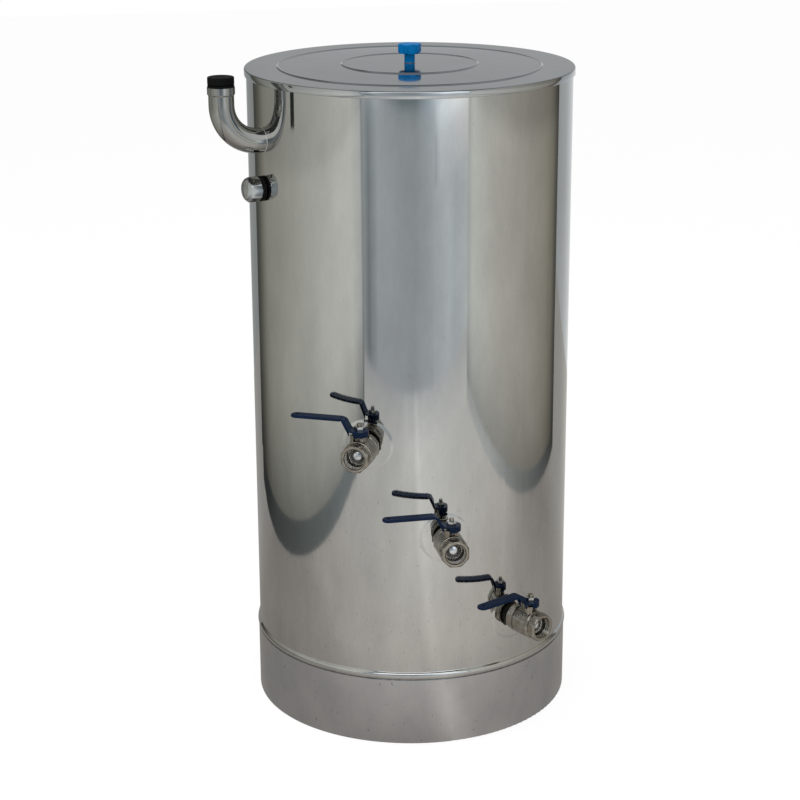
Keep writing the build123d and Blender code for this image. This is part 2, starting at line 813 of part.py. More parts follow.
# Seats: a plastic ring on each side of the ball, hollowed to it
def make_seats(step):
    frame = valve_frame(step, ball_reach)
    hollow = ball_radius + turn_gap
    seat_front = chamber_half + weld_gap
    bore_angle = degrees(asin(bore_radius / hollow))
    front_angle = degrees(acos(seat_front / hollow))
    with BuildPart() as seats:
        with BuildSketch(within(frame, Plane.XZ)):
            with BuildLine():
                cup = CenterArc((0, 0), hollow, bore_angle, front_angle - bore_angle)
                Polyline(
                    cup @ 1,
                    (seat_front, seat_radius - weld_gap),
                    (seat_back, seat_radius - weld_gap),
                    (seat_back, bore_radius),
                    cup @ 0,
                )
            make_face()
        revolve(axis=flow_axis(frame))
        mirror(about=within(frame, Plane.YZ))
    return seats.part


# Ball: bored through across the flow while the valve is shut, slotted on top for the stem
def make_ball(step):
    frame = valve_frame(step, ball_reach)
    with BuildPart(frame) as ball:
        Sphere(ball_radius)
        with BuildSketch(within(frame, Plane.XZ)):
            Circle(bore_radius)
        extrude(amount=2 * ball_radius, both=True, mode=Mode.SUBTRACT)
        with BuildSketch(within(frame, Plane.XY.offset(ball_radius - slot_depth))):
            Rectangle(2 * ball_radius, stem_tang + 2 * weld_gap)
        extrude(amount=2 * slot_depth, mode=Mode.SUBTRACT)
    return ball.part


# Stem: a tang in the ball, a collar under the neck, two flats for the lever and a threaded end
def make_stem(step):
    frame = valve_frame(step, ball_reach)
    with BuildPart() as stem:
        with BuildSketch(within(frame, Plane.XY.offset(ball_radius - slot_depth + weld_gap))):
            Rectangle(2 * stem_radius, stem_tang)
        extrude(amount=stem_collar_foot - ball_radius + slot_depth)
        with BuildSketch(within(frame, Plane.XY.offset(stem_collar_foot))):
            Circle(stem_collar_radius)
        extrude(amount=stem_collar)
        with BuildSketch(within(frame, Plane.XY.offset(stem_collar_top))):
            Circle(stem_radius)
        extrude(amount=lever_foot - stem_collar_top)
        with BuildSketch(within(frame, Plane.XY.offset(lever_foot))):
            Circle(stem_radius)
            Rectangle(2 * stem_radius, 2 * stem_flat, mode=Mode.INTERSECT)
        extrude(amount=lever_sheet)
        with BuildSketch(within(frame, Plane.XY.offset(lever_top))):
            Circle(min(stem_thread_radius, stem_flat))
        extrude(amount=lever_nut_height + stem_tip)
    return stem.part


# Packing: a plastic ring round the stem
def make_packing(step):
    frame = valve_frame(step, ball_reach)
    with BuildPart() as packing:
        with BuildSketch(within(frame, Plane.XY.offset(packing_foot))):
            Circle(packing_radius)
            Circle(stem_radius + turn_gap, mode=Mode.SUBTRACT)
        extrude(amount=packing_height)
    return packing.part


# Six-sided nut with its corners chamfered at the top
def make_nut(frame, foot, height, apothem, hole):
    corner = apothem / cos(radians(30))
    with BuildPart() as nut:
        with BuildSketch(within(frame, Plane.XY.offset(foot))):
            RegularPolygon(radius=apothem, side_count=6, major_radius=False)
        extrude(amount=height)
        with BuildSketch(within(frame, Plane.XZ)):
            with BuildLine():
                Polyline(
                    (hole, foot),
                    (corner, foot),
                    (corner, foot + height - nut_chamfer),
                    (apothem - nut_chamfer / 4, foot + height),
                    (hole, foot + height),
                    close=True,
                )
            make_face()
        revolve(axis=Axis(frame.origin, frame.z_dir), mode=Mode.INTERSECT)
    return nut.part


def make_gland_nut(step):
    frame = valve_frame(step, ball_reach)
    return make_nut(frame, neck_top, gland_height, gland_apothem, stem_radius + turn_gap)


def make_lever_nut(step):
    frame = valve_frame(step, ball_reach)
    hole = min(stem_thread_radius, stem_flat) + turn_gap
    return make_nut(frame, lever_top, lever_nut_height, lever_nut_flats / 2, hole)


# Lever: a pressed strip, cranked up from its hub, with a stop skirt turned down round the hub
def make_lever(step):
    frame = valve_frame(step, ball_reach)
    half_arm = arm_width / 2
    with BuildPart() as lever:
        with BuildSketch(within(frame, Plane.YZ)):
            with BuildLine():
                FilletPolyline(
                    (hub_radius, lever_middle),
                    (-hub_radius, lever_middle),
                    (-crank_end, arm_middle),
                    (-lever_reach, arm_middle),
                    radius=crank_bend,
                )
            trace(line_width=lever_sheet)
        extrude(amount=hub_radius, both=True)
        with BuildSketch(within(frame, Plane.XY.offset(lever_foot - hub_skirt))):
            Circle(hub_radius)
            with BuildLine():
                Polyline(
                    (hub_inner, 0),
                    (half_arm, -crank_end),
                    (half_arm, half_arm - lever_reach),
                    (-half_arm, half_arm - lever_reach),
                    (-half_arm, -crank_end),
                    (-hub_inner, 0),
                    close=True,
                )
            make_face()
            with Locations((0, half_arm - lever_reach)):
                Circle(half_arm)
            with Locations((0, -hang_hole_reach)):
                Circle(hang_hole_radius + grip_wall, mode=Mode.SUBTRACT)
        extrude(amount=hub_skirt + crank_rise + 2 * lever_sheet, mode=Mode.INTERSECT)
        with BuildSketch(within(frame, Plane.XY.offset(lever_foot - hub_skirt))):
            with BuildLine():
                skirt_start = 90 - hub_skirt_span / 2
                skirt_out = CenterArc((0, 0), hub_radius, skirt_start, hub_skirt_span)
                skirt_in = CenterArc((0, 0), hub_inner, skirt_start, hub_skirt_span)
                Line(skirt_in @ 0, skirt_out @ 0)
                Line(skirt_in @ 1, skirt_out @ 1)
            make_face()
        extrude(amount=hub_skirt)
        for side in (-half_arm, half_arm - lever_sheet):
            with BuildSketch(within(frame, Plane.YZ.offset(side))):
                with BuildLine():
                    Polyline(
                        (-hub_radius, lever_foot - hub_skirt),
                        (-hub_radius, lever_middle),
                        (-crank_end, arm_middle),
                        (-flange_end, arm_middle),
                        close=True,
                    )
                make_face()
            extrude(amount=lever_sheet)
        with BuildSketch(within(frame, Plane.XY.offset(lever_foot))):
            Circle(stem_radius + weld_gap)
            Rectangle(2 * (stem_radius + weld_gap), 2 * (stem_flat + weld_gap), mode=Mode.INTERSECT)
        extrude(amount=lever_sheet, mode=Mode.SUBTRACT)
    return lever.part


# Lever grip: a thin sleeve of vinyl over the arm, with a hole to hang it by
def make_lever_grip(step):
    frame = valve_frame(step, ball_reach)
    fit_half = arm_width / 2 + weld_gap
    grip_half = fit_half + grip_wall
    fit_tip = lever_reach + weld_gap
    grip_root = crank_end + grip_start
    fit_sheet = lever_sheet + 2 * weld_gap
    with BuildPart() as lever_grip:
        with BuildSketch(within(frame, Plane.XY.offset(arm_middle - fit_sheet / 2 - grip_wall))):
            with Locations((0, -(grip_root + fit_tip - fit_half) / 2)):
                Rectangle(2 * grip_half, fit_tip - fit_half - grip_root)
            with Locations((0, fit_half - fit_tip)):
                Circle(grip_half)
        extrude(amount=fit_sheet + 2 * grip_wall)
        long_edges = lever_grip.faces().sort_by(Axis.Z)
        fillet(long_edges[-1].edges() + long_edges[0].edges(), radius=grip_round)
        with BuildSketch(within(frame, Plane.XY.offset(arm_middle - fit_sheet / 2))):
            with Locations((0, -(grip_root + fit_tip - fit_half) / 2)):
                Rectangle(2 * fit_half, fit_tip - fit_half - grip_root)
            with Locations((0, fit_half - fit_tip)):
                Circle(fit_half)
        extrude(amount=fit_sheet, mode=Mode.SUBTRACT)
        with BuildSketch(within(frame, Plane.XY.offset(arm_middle))):
            with Locations((0, -hang_hole_reach)):
                Circle(hang_hole_radius)
        extrude(amount=lever_sheet + grip_wall, both=True, mode=Mode.SUBTRACT)
    return lever_grip.part


valve_pieces = {
    "wall_collar": make_wall_collar,
    "stub_pipe": make_stub_pipe,
    "valve_body": make_valve_body,
    "end_piece": make_end_piece,
    "seats": make_seats,
    "ball": make_ball,
    "stem": make_stem,
    "packing": make_packing,
    "gland_nut": make_gland_nut,
    "lever": make_lever,
    "lever_grip": make_lever_grip,
    "lever_nut": make_lever_nut,
}
for valve_name, valve_step in valve_steps.items():
    for piece_name, make_piece in valve_pieces.items():
        write_piece(make_piece(valve_step), f"{valve_name}_{piece_name}")
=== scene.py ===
import json
import bpy
import numpy as np
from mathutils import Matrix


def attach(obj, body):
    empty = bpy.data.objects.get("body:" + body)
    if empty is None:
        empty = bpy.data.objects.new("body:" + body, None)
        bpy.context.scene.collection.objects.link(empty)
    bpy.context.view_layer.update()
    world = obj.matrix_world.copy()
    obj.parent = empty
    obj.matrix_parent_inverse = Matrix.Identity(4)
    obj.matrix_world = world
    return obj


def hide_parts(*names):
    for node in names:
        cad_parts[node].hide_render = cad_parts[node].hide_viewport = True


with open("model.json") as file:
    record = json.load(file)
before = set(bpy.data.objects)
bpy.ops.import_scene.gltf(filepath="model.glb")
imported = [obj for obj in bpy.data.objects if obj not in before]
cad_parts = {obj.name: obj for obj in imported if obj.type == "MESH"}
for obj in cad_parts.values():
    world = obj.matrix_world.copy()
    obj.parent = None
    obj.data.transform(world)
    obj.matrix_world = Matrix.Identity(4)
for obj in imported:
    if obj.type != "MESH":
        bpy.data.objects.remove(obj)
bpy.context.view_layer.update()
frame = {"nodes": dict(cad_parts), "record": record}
print("frame loaded:", len(frame["nodes"]), "nodes")


# ways of working

def linear(hexColour):
    # sRGB hex to linear red, green, blue and a full alpha
    c = np.array([int(hexColour[i:i + 2], 16) for i in (1, 3, 5)]) / 255
    c = np.where(c <= 0.04045, c / 12.92, ((c + 0.055) / 1.055) ** 2.4)
    return (*[float(v) for v in c], 1.0)


def addNode(tree, kind, links=None, stops=None, settings=None, **values):
    # one node with its properties, its colour stops, its plain sockets and what feeds the rest
    node = tree.nodes.new(kind)
    for key, value in (settings or {}).items():
        setattr(node, key, value)
    if stops:
        ramp = node.color_ramp
        while len(ramp.elements) < len(stops):
            ramp.elements.new(0.5)
        for element, (place, colour) in zip(ramp.elements, stops):
            element.position = place
            element.color = linear(colour) if isinstance(colour, str) else (colour, colour, colour, 1)
    for key, value in values.items():
        node.inputs[key].default_value = value
    for key, source in (links or {}).items():
        tree.links.new(source, node.inputs[key])
    return node


# what a math or mix node does
times, plus = {"operation": "MULTIPLY"}, {"operation": "ADD"}
minus, larger = {"operation": "SUBTRACT"}, {"operation": "MAXIMUM"}
plainMix = {"data_type": "RGBA"}
stain = {"data_type": "RGBA", "blend_type": "MULTIPLY"}


def fromTo(low, high, outLow=0.0, outHigh=1.0):
    # the four numbers that carry one range of values over to another
    return {"From Min": low, "From Max": high, "To Min": outLow, "To Max": outHigh}


def newMaterial(name):
    material = bpy.data.materials.new(name)
    material.use_nodes = True
    material.node_tree.nodes.clear()
    return material, material.node_tree


def patternFrom(tree, stretch, size, detail, rough=0.55):
    # noise on Object coordinates: size is one grain in metres, stretch pulls it along x, y and z
    place = addNode(tree, "ShaderNodeTexCoord").outputs["Object"]
    squeeze = tuple(1 / (size * s) for s in stretch)
    moved = addNode(tree, "ShaderNodeMapping", {"Vector": place}, Scale=squeeze)
    noise = addNode(tree, "ShaderNodeTexNoise", {"Vector": moved.outputs[0]}, Scale=1.0, Detail=detail, Roughness=rough)
    return noise.outputs["Fac"]


def finishMaterial(tree, shader):
    out = addNode(tree, "ShaderNodeOutputMaterial")
    tree.links.new(shader.outputs[0], out.inputs["Surface"])


def around(points, degrees):
    # turns points about the tank's axis, to the right as seen from above the front
    a = np.radians(degrees)
    x, y, z = points[..., 0], points[..., 1], points[..., 2]
    return np.stack([x * np.cos(a) - y * np.sin(a), x * np.sin(a) + y * np.cos(a), z], -1)


def gridFaces(rows, columns, closedRows, closedColumns):
    # four-cornered faces of a grid of points, row after row, joined up where it closes
    r = np.arange(rows if closedRows else rows - 1)[:, None]
    c = np.arange(columns if closedColumns else columns - 1)[None]
    r2, c2 = (r + 1) % rows, (c + 1) % columns
    corners = np.broadcast_arrays(r * columns + c, r * columns + c2, r2 * columns + c2, r2 * columns + c)
    return np.stack(corners, -1).reshape(-1, 4)


def endRows(rows, columns):
    # the first and the last row of a grid, each as one many-cornered face
    return np.arange(columns)[::-1].tolist(), (np.arange(columns) + (rows - 1) * columns).tolist()


def newPiece(name, points, faces, material, body=None, ends=(), crisp=None):
    # ends are the rows that one many-cornered face closes, crisp is the angle in degrees that stays an edge
    mesh = bpy.data.meshes.new(name)
    mesh.from_pydata(points.reshape(-1, 3).tolist(), [], faces.tolist() + [list(row) for row in ends])
    mesh.polygons.foreach_set("use_smooth", np.ones(len(mesh.polygons), bool))
    mesh.materials.append(material)
    mesh.update()
    if crisp:
        mesh.set_sharp_from_angle(angle=float(np.radians(crisp)))
    piece = bpy.data.objects.new(name, mesh)
    bpy.context.scene.collection.objects.link(piece)
    if body:
        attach(piece, body)
    return piece


# camera

camera = {"azimuth": -12.0, "away": 3.1315, "height": 1.4905, "tilt": 17.826, "swing": 0.311, "roll": -0.257,
          "lens": 92.06, "sensor": 36.0, "sees": 60.0}
eye = bpy.data.cameras.new("photoCamera")
eye.lens, eye.sensor_width, eye.clip_end = camera["lens"], camera["sensor"], camera["sees"]
cameraObject = bpy.data.objects.new("photoCamera", eye)
cameraObject.location = around(np.array([0, -camera["away"], camera["height"]]), camera["azimuth"]).tolist()
cameraObject.rotation_mode = "XYZ"
aimed = np.radians([90 - camera["tilt"], 0, camera["azimuth"] + camera["swing"]])
cameraObject.rotation_euler = aimed.tolist()
bpy.context.scene.collection.objects.link(cameraObject)
cameraObject.rotation_euler.rotate_axis("Z", float(np.radians(camera["roll"])))
bpy.context.scene.camera = cameraObject
print("camera set")


# studio: white floor and surround, grey flats at the sides, soft lamps

def whiteOrPlain(tree, plain, seen, mirrored):
    # seen by the camera or through glass, mirrored in metal, and plain where it only lights the tank
    path = addNode(tree, "ShaderNodeLightPath").outputs
    looked = addNode(tree, "ShaderNodeMath", {0: path["Is Camera Ray"], 1: path["Is Transmission Ray"]},
                     settings=larger).outputs[0]
    shown = addNode(tree, "ShaderNodeMixShader",
                    {0: path["Is Glossy Ray"], 1: plain.outputs[0], 2: mirrored.outputs[0]})
    return addNode(tree, "ShaderNodeMixShader", {0: looked, 1: shown.outputs[0], 2: seen.outputs[0]})


# the floor's tone in metal is a painted reflection: painted light that falls off with depth and runs across its width
# with a painted bright streak, painted contact shade close round the tank, and painted bands of light and shade that
# turn round the tank close to it and behind it
floor = {
    "half": 9.0, "below": 0.0006, "paper": "#f2f1ee", "white": 1.04, "shadow": 0.14,
    "depth": (-2.05, 0.9), "tones": [
        (0.0, "#d0d4d6"), (0.14, "#e6e6e4"), (0.32, "#e2e1dd"), (0.53, "#cfcac5"),
        (0.61, "#b6b1ac"), (0.7, "#a8a49f"), (0.8, "#a39f9a"), (0.9, "#b0aeaa")],
    "width": (-1.0, 1.0), "across": [
        (0.0, 0.8), (0.25, 0.82), (0.4, 0.92), (0.46, 1.01), (0.53, 1.0), (0.565, 1.16), (0.6, 1.05), (1.0, 0.94)],
    "contact": (0.27, 0.6, 0.76, 1.0), "close": (0.37, 0.48, 1.0, 0.0), "behind": (0.0, 0.15),
    "plainRound": 0.7, "round": [
        (0.0, 0.7), (0.515, 0.71), (0.5465, 1.0), (0.575, 0.74), (0.7, 0.66), (0.87, 0.7), (0.92, 0.85), (1.0, 0.87)]}
floorMaterial, tree = newMaterial("whitePaperFloor")
place = addNode(tree, "ShaderNodeTexCoord").outputs["Object"]
facing = (0, 0, float(np.radians(-camera["azimuth"])))
turned = addNode(tree, "ShaderNodeMapping", {"Vector": place}, Rotation=facing).outputs[0]
axes = addNode(tree, "ShaderNodeSeparateXYZ", {0: turned}).outputs
away = addNode(tree, "ShaderNodeVectorMath", {0: turned}, settings={"operation": "LENGTH"}).outputs["Value"]
depth = addNode(tree, "ShaderNodeMapRange", {"Value": axes["Y"]}, **fromTo(*floor["depth"]))
tones = addNode(tree, "ShaderNodeValToRGB", {"Fac": depth.outputs[0]}, floor["tones"])
width = addNode(tree, "ShaderNodeMapRange", {"Value": axes["X"]}, **fromTo(*floor["width"]))
across = addNode(tree, "ShaderNodeValToRGB", {"Fac": width.outputs[0]}, floor["across"])
# painted contact shadow: metal sees the floor darker close round the tank
contact = addNode(tree, "ShaderNodeMapRange", {"Value": away}, **fromTo(*floor["contact"]))
ahead = addNode(tree, "ShaderNodeMath", {0: axes["Y"]}, settings=times)
ahead.inputs[1].default_value = -1.0
bearing = addNode(tree, "ShaderNodeMath", {0: axes["X"], 1: ahead.outputs[0]}, settings={"operation": "ARCTAN2"})
bearing = addNode(tree, "ShaderNodeMapRange", {"Value": bearing.outputs[0]}, **fromTo(-np.pi, np.pi))
# painted bands of light and shade round the tank, close to it and behind it
wedge = addNode(tree, "ShaderNodeValToRGB", {"Fac": bearing.outputs[0]}, floor["round"])
wedge = addNode(tree, "ShaderNodeMapRange", {"Value": wedge.outputs["Color"]},
                **fromTo(0.0, 1.0, 0.0, 1 / floor["plainRound"]))
close = addNode(tree, "ShaderNodeMapRange", {"Value": away}, **fromTo(*floor["close"]))
behind = addNode(tree, "ShaderNodeMapRange", {"Value": axes["Y"]}, **fromTo(*floor["behind"]))
share = addNode(tree, "ShaderNodeMath", {0: close.outputs[0], 1: behind.outputs[0]}, settings=larger)
gain = addNode(tree, "ShaderNodeMix", {0: share.outputs[0], 3: wedge.outputs[0]})
gain.inputs[2].default_value = 1.0
dim = addNode(tree, "ShaderNodeMath", {0: across.outputs["Color"], 1: contact.outputs[0]}, settings=times)
dim = addNode(tree, "ShaderNodeMath", {0: dim.outputs[0], 1: gain.outputs[0]}, settings=times)
paper = addNode(tree, "ShaderNodeBsdfDiffuse", Color=linear(floor["paper"]))
bright = addNode(tree, "ShaderNodeEmission", Color=(1, 1, 1, 1), Strength=floor["white"])
lifted = addNode(tree, "ShaderNodeMixShader", {1: bright.outputs[0], 2: paper.outputs[0]}, Fac=floor["shadow"])
# what metal mirrors of the floor glows with this painted light and painted shade; the lamps do not light it
mirrored = addNode(tree, "ShaderNodeEmission", {"Color": tones.outputs["Color"], "Strength": dim.outputs[0]})
finishMaterial(tree, whiteOrPlain(tree, paper, lifted, mirrored))
half = floor["half"]
floorPoints = np.array([[-half, -half, 0], [half, -half, 0], [half, half, 0], [-half, half, 0]])
floorPoints = floorPoints - [0, 0, floor["below"]]
studioFloor = newPiece("studioFloor", floorPoints, np.array([[0, 1, 2, 3]]), floorMaterial)

surround = {"white": 1.0, "air": "#f4f6f8", "light": 0.75}
world = bpy.data.worlds.new("paleSurround")
bpy.context.scene.world = world
world.use_nodes = True
tree = world.node_tree
tree.nodes.clear()
whiteAir = addNode(tree, "ShaderNodeBackground", Color=(1, 1, 1, 1), Strength=surround["white"])
softAir = addNode(tree, "ShaderNodeBackground", Color=linear(surround["air"]), Strength=surround["light"])
air = whiteOrPlain(tree, softAir, whiteAir, whiteAir)
out = addNode(tree, "ShaderNodeOutputWorld")
tree.links.new(air.outputs[0], out.inputs["Surface"])

# flats that only the metal sees, each a sheet with its colours along it and its light up it;
# where it has colours above, they blend in with height. They glow though they are no lamps, so what metal mirrors of
# them is painted reflection with painted light and painted shade in it
even = [(0.0, 1.0), (1.0, 1.0)]
flats = {
    "leftFlat": {
        "from": (-0.88, -1.49), "to": (-0.88, 0.76), "foot": 0.073, "top": 2.4, "along": [
            (0.0, "#969b9f"), (0.038, "#ccd0cf"), (0.162, "#e2e3dd"), (0.287, "#dedfd9"),
            (0.803, "#9b9a92"), (0.889, "#6d6c64"), (0.96, "#565854"), (1.0, "#4c4e4a")],
        # the drop in light high up this flat is painted shade under the lid's edge
        "up": [(0.0, 0.45), (0.05, 0.75), (0.11, 0.96), (0.2, 1.0), (0.28, 1.0), (0.296, 0.88), (1.0, 0.85)]},
    "leftSkirting": {
        "from": (-0.88, -1.49), "to": (-0.88, 0.74), "foot": 0.0, "top": 0.073, "along": [
            (0.0, "#848b8b"), (0.289, "#81888a"), (0.443, "#6f7675"), (0.6, "#5b6060"),
            (0.77, "#4b4f4e"), (0.87, "#383a3a"), (1.0, "#343535")],
        "up": even},
    "leftPost": {
        "from": (-0.872, -0.215), "to": (-0.872, -0.17), "foot": 0.83, "top": 2.4,
        "along": [(0.0, "#2e3230"), (1.0, "#2e3230")], "up": even},
    "rightFlat": {
        "from": (1.225, -1.57), "to": (1.225, 0.68), "foot": 0.048, "top": 2.4, "along": [
            (0.0, "#ccd2d0"), (0.08, "#e2e5e0"), (0.4, "#cccac3"), (0.82, "#a39e93"),
            (0.9, "#8b877c"), (0.96, "#605f59"), (1.0, "#565550")],
        # the drop in light high up this flat is painted shade under the lid's edge
        "up": [(0.0, 0.6), (0.05, 0.85), (0.1, 0.97), (0.2, 1.0), (0.29, 1.0), (0.312, 0.76), (1.0, 0.72)]},
    "rightSkirting": {
        "from": (1.225, -1.57), "to": (1.225, 0.68), "foot": 0.0, "top": 0.048, "along": [
            (0.0, "#c6c9c9"), (0.3, "#c3c6c6"), (0.46, "#9fa3a2"), (0.6, "#8a8e8d"),
            (0.75, "#6f7272"), (0.9, "#555757"), (1.0, "#45423e")],
        "up": even},
    "frontWall": {
        "from": (-1.3, -2.05), "to": (1.72, -2.05), "foot": 0.0, "top": 1.3, "along": [
            (0.0, "#a9aeb1"), (0.04, "#a5abad"), (0.08, "#899296"), (0.17, "#b9bfc4"),
            (0.47, "#afb5b9"), (0.75, "#d5dce2"), (0.82, "#ccd5da"), (1.0, "#dbe0e2")],
        "up": [
            (0.0, 0.95), (0.2, 0.97), (0.4, 1.0), (0.47, 1.05),
            (0.51, 1.16), (0.525, 1.28), (0.54, 1.5), (1.0, 1.5)],
        "above": [
            (0.143, "#b1b9c1"), (0.262, "#7e858d"), (0.372, "#5f6d71"), (0.48, "#687378"),
            (0.585, "#9caeb9"), (0.709, "#edf6fd"), (0.821, "#ebf2f5"), (1.0, "#ebf2f5")],
        "blend": [(0.34, 0.0), (0.4, 0.05), (0.47, 0.15), (0.51, 0.32), (0.525, 0.55), (0.54, 1.0)]},
    # a bright pane that only metal sees: a painted highlight on the tube and on the shell's upper rows
    "frontPane": {
        "from": (0.6, -2.045), "to": (1.72, -2.045), "foot": 0.49, "top": 0.68, "along": [
            (0.0, "#c0c8cd"), (0.12, "#e2eaf1"), (0.5, "#eef3f6"), (1.0, "#fbfdfe")],
        "up": [(0.0, 0.84), (0.35, 0.88), (0.6, 0.98), (0.8, 1.22), (1.0, 1.5)]},
    "backWall": {
        "from": (3.2, 1.7), "to": (-3.2, 1.7), "foot": 0.0, "top": 4.2, "along": [
            (0.0, "#b4b8ba"), (0.25, "#ccd0d3"), (0.42, "#f6f8f9"), (0.55, "#f0f2f3"),
            (0.585, "#dfe2e3"), (0.61, "#a4a8a8"), (1.0, "#999d9d")],
        "up": [(0.0, 0.84), (0.25, 0.84), (0.28, 0.44), (0.33, 0.43), (1.0, 0.36)]},
    "ceiling": {
        "from": (-3.4, 1.7), "to": (3.4, 1.7), "reachTo": -3.6, "foot": 3.4, "top": 3.4,
        "along": [(0.0, "#8d9194"), (1.0, "#969a9d")],
        "up": [(0.0, 1.0), (0.22, 0.95), (0.34, 0.3), (1.0, 0.25)]},
    # its pale band is a painted bright window that gives valves, levers and knob their highlights
    "frontHigh": {
        "from": (-3.4, -2.3), "to": (3.4, -2.3), "foot": 1.3, "top": 3.4, "along": [
            (0.0, "#43474a"), (0.3, "#4a4f52"), (0.34, "#fbfcfd"),
            (0.74, "#f2f4f6"), (0.78, "#4a4f52"), (1.0, "#43474a")],
        "up": [(0.0, 1.0), (0.2, 1.6), (1.0, 1.6)]},
}
brightest = 2.0  # the ramps up the flats hold shares of this strength
for name, flat in flats.items():
    material, tree = newMaterial(name + "Paint")
    sheetPlace = addNode(tree, "ShaderNodeTexCoord").outputs["UV"]
    axes = addNode(tree, "ShaderNodeSeparateXYZ", {0: sheetPlace}).outputs
    colour = addNode(tree, "ShaderNodeValToRGB", {"Fac": axes["X"]}, flat["along"]).outputs["Color"]
    shares = [(place, strength / brightest) for place, strength in flat["up"]]
    rise = addNode(tree, "ShaderNodeValToRGB", {"Fac": axes["Y"]}, shares)
    strength = addNode(tree, "ShaderNodeMapRange", {"Value": rise.outputs["Color"]}, **fromTo(0.0, 1.0, 0.0, brightest))
    if "above" in flat:
        above = addNode(tree, "ShaderNodeValToRGB", {"Fac": axes["X"]}, flat["above"]).outputs["Color"]
        blend = addNode(tree, "ShaderNodeValToRGB", {"Fac": axes["Y"]}, flat["blend"]).outputs["Color"]
        colour = addNode(tree, "ShaderNodeMix", {0: blend, 6: colour, 7: above}, settings=plainMix).outputs[2]
    glow = addNode(tree, "ShaderNodeEmission", {"Color": colour, "Strength": strength.outputs[0]})
    finishMaterial(tree, glow)
    (x0, y0), (x1, y1) = flat["from"], flat["to"]
    yTop0, yTop1 = flat.get("reachTo", y0), flat.get("reachTo", y1)
    foot, top = flat["foot"], flat["top"]
    corners = np.array([[x0, y0, foot], [x1, y1, foot], [x1, yTop1, top], [x0, yTop0, top]])
    card = newPiece(name, around(corners, camera["azimuth"]), np.array([[0, 1, 2, 3]]), material)
    layer = card.data.uv_layers.new(name="sheet")
    layer.data.foreach_set("uv", np.array([0, 0, 1, 0, 1, 1, 0, 1], float))
    card.visible_camera = card.visible_diffuse = card.visible_shadow = card.visible_transmission = False

lamps = {
    "topSoftbox": {"at": (-0.3, -0.5, 3.0), "aim": (0, 0, 0.6), "wide": 2.6, "watts": 48},
    "frontSoftbox": {"at": (1.5, -3.0, 2.1), "aim": (0, 0, 0.6), "wide": 1.6, "watts": 24},
    "leftSoftbox": {"at": (-2.6, -1.2, 1.8), "aim": (0, 0, 0.7), "wide": 1.4, "watts": 14},
}
for name, lamp in lamps.items():
    light = bpy.data.lights.new(name, "AREA")
    light.shape, light.size, light.energy = "SQUARE", lamp["wide"], lamp["watts"]
    lightObject = bpy.data.objects.new(name, light)
    at = around(np.array(lamp["at"], float), camera["azimuth"])
    aim = at - around(np.array(lamp["aim"], float), camera["azimuth"])
    lightObject.location = at.tolist()
    flatRun = float(np.hypot(aim[0], aim[1]))
    tilt, swing = float(np.arctan2(flatRun, aim[2])), float(np.arctan2(aim[1], aim[0]) + np.pi / 2)
    lightObject.rotation_euler = (tilt, 0.0, swing)
    lightObject.visible_glossy = False
    bpy.context.scene.collection.objects.link(lightObject)
print("studio set:", len(flats), "flats,", len(lamps), "lamps")


# finishes

sheet = {"smear": 0.05, "smearStretch": (1, 1, 1.6), "smearRough": 0.68, "tones": (0.3, 0.7), "lines": (0.3, 0.7),
         "haze": (0.35, 0.75), "fleckEdge": 0.06, "fleckFoot": 0.15, "fleckTop": 2.0, "fleckLoss": 0.07,
         "rolledTurn": 0.25}


def sheetSteel(name, tones, shine, grain, wave, flecks):
    # rolled stainless sheet: a grey mirror, drawn out along its grain, a little wavy, with small dark flecks that
    # thin out with height; shine is the roughness between the grain's lines, on them, and what a smear adds
    material, tree = newMaterial(name)
    place = addNode(tree, "ShaderNodeTexCoord").outputs["Object"]
    height = addNode(tree, "ShaderNodeSeparateXYZ", {0: place}).outputs["Z"]
    smear = patternFrom(tree, wave.get("smear", sheet["smearStretch"]), sheet["smear"], 6, sheet["smearRough"])
    streak = patternFrom(tree, grain["stretch"], grain["size"], 2)
    fleck = patternFrom(tree, flecks["stretch"], flecks["size"], 1)
    tone = addNode(tree, "ShaderNodeValToRGB", {"Fac": smear}, list(zip(sheet["tones"], tones)))
    fewer = addNode(tree, "ShaderNodeMapRange", {"Value": height},
                    **fromTo(sheet["fleckFoot"], flecks.get("below", sheet["fleckTop"]), 0.0, sheet["fleckLoss"]))
    fleck = addNode(tree, "ShaderNodeMath", {0: fleck, 1: fewer.outputs[0]}, settings=minus)
    mark = addNode(tree, "ShaderNodeValToRGB", {"Fac": fleck.outputs[0]},
                   [(flecks["from"], 1.0), (flecks["from"] + sheet["fleckEdge"], flecks["dark"])])
    colour = addNode(tree, "ShaderNodeMix", {6: tone.outputs[0], 7: mark.outputs[0]}, settings=stain, Factor=1.0)
    lines = addNode(tree, "ShaderNodeMapRange", {"Value": streak}, **fromTo(*sheet["lines"], shine[0], shine[1]))
    haze = addNode(tree, "ShaderNodeMapRange", {"Value": smear}, **fromTo(*sheet["haze"], 0.0, shine[2]))
    rough = addNode(tree, "ShaderNodeMath", {0: lines.outputs[0], 1: haze.outputs[0]}, settings=plus)
    swell = patternFrom(tree, wave["stretch"], wave["size"], 2)
    relief = addNode(tree, "ShaderNodeBump", {"Height": swell}, Strength=1.0, Distance=wave["deep"])
    relief = addNode(tree, "ShaderNodeBump", {"Height": streak, "Normal": relief.outputs[0]},
                     Strength=grain["strength"], Distance=grain["deep"])
    steel = addNode(tree, "ShaderNodeBsdfPrincipled", {
        "Base Color": colour.outputs[2], "Roughness": rough.outputs[0], "Normal": relief.outputs[0]}, Metallic=1.0)
    if "rolled" in grain:
        # rolling marks run round the sheet, so they blur a mirrored thing upwards more than sideways
        ringed = addNode(tree, "ShaderNodeTangent", settings={"direction_type": "RADIAL", "axis": "Z"})
        tree.links.new(ringed.outputs[0], steel.inputs["Tangent"])
        steel.inputs["Anisotropic"].default_value = grain["rolled"]
        steel.inputs["Anisotropic Rotation"].default_value = sheet["rolledTurn"]
    finishMaterial(tree, steel)
    return material


